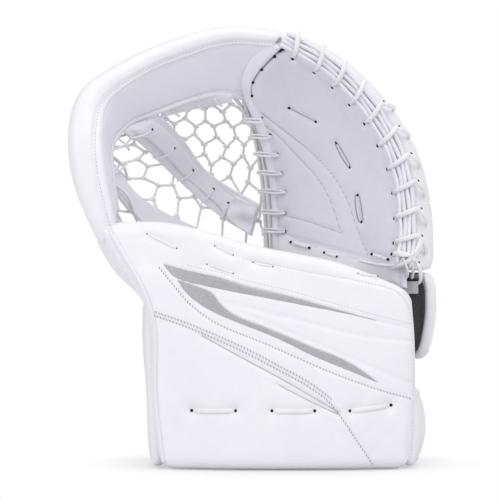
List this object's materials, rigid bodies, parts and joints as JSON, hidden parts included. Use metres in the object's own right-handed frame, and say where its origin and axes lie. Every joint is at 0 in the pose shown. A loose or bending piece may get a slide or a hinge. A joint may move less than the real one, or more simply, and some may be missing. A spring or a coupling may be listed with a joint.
{
  "type": "goalie catch glove",
  "caption": "Left-hand ice hockey goalie's catch glove: laced palm and thumb round a knotted net pocket, above a broad padded cuff.",
  "frame": {"origin": "middle of the cuff's wrist opening in the plane of the cuff's flat bottom end", "axes": "+Z from the wrist up to the fingertips, -Y out of the catching side, +X from the thumb to the little finger's edge"},
  "size_m": [0.2856, 0.2092, 0.3392],
  "materials": {
    "leather_white": "smooth white coated synthetic leather with a soft sheen",
    "leather_palm": "matte pale grey-lavender synthetic leather with a fine grain",
    "insert_silver": "silver-grey coated insert with a satin face",
    "lace_white": "white flat lacing and knotted pocket cord",
    "lining_black": "black knitted lining",
    "webbing_white": "white woven nylon webbing",
    "hook_grey": "grey hook-and-loop tape",
    "plastic_white": "moulded white plastic"
  },
  "bodies": {
    "cuff_thumb": {"cuff_pad": "leather_white", "cuff_stiffener": "plastic_white", "cuff_liner": "lining_black", "silver_insert_upper": "insert_silver", "silver_insert_lower": "insert_silver", "cuff_diagonal_panel": "leather_white", "cuff_wing_thumb": "leather_white", "cuff_wing_heel": "leather_white", "thumb_gusset": "leather_white", "thumb_shell": "leather_white", "thumb_stiffener": "plastic_white", "thumb_wall": "leather_palm", "pocket_net": "lace_white", "centre_strap": "leather_palm", "centre_strap_cover": "leather_palm", "pocket_top_strap": "leather_palm", "pocket_low_strap": "leather_palm", "cuff_lace_1": "lace_white", "cuff_lace_2": "lace_white", "cuff_lace_3": "lace_white", "wrist_loop_patch": "hook_grey"},
    "fingers": {"palm_panel": "leather_palm", "palm_liner": "lining_black", "palm_heel_band": "leather_palm", "palm_binding": "leather_palm", "rim_roll": "leather_white", "finger_shell": "leather_white", "finger_stiffener": "plastic_white", "finger_liner": "lining_black", "index_side_wall": "leather_white", "backhand_pad": "leather_white", "backhand_liner": "lining_black", "rim_lace_01": "lace_white", "rim_lace_02": "lace_white", "rim_lace_03": "lace_white", "rim_lace_04": "lace_white", "rim_lace_05": "lace_white", "rim_lace_06": "lace_white", "rim_lace_07": "lace_white", "rim_lace_08": "lace_white", "rim_lace_09": "lace_white", "rim_lace_10": "lace_white", "rim_lace_11": "lace_white", "rim_lace_12": "lace_white", "rim_lace_13": "lace_white", "palm_lace_1": "lace_white", "palm_lace_2": "lace_white", "palm_lace_3": "lace_white", "heel_lace_1": "lace_white", "heel_lace_2": "lace_white", "heel_lace_3": "lace_white"},
    "wrist_strap": {"wrist_strap": "webbing_white", "wrist_hook_patch": "hook_grey", "wrist_strap_tab": "plastic_white", "wrist_strap_keeper": "plastic_white"},
    "hand_strap": {"hand_strap": "webbing_white", "hand_hook_patch": "hook_grey", "hand_strap_tab": "plastic_white", "hand_strap_keeper": "plastic_white"}
  },
  "joints": [
    {"name": "glove_break", "type": "hinge", "parent": "cuff_thumb", "child": "fingers", "pos_m": [-0.005, 0.015, 0.333], "axis": [0.006, 0.2692, -0.9631], "range_deg": [0, 35]},
    {"name": "wrist_strap_open", "type": "hinge", "parent": "cuff_thumb", "child": "wrist_strap", "pos_m": [-0.084, 0.052, 0.039], "axis": [0, 0, 1], "range_deg": [0, 110]},
    {"name": "hand_strap_open", "type": "hinge", "parent": "fingers", "child": "hand_strap", "pos_m": [0.104, 0.086, 0.113], "axis": [0, 0, -1], "range_deg": [0, 90]}
  ]
}
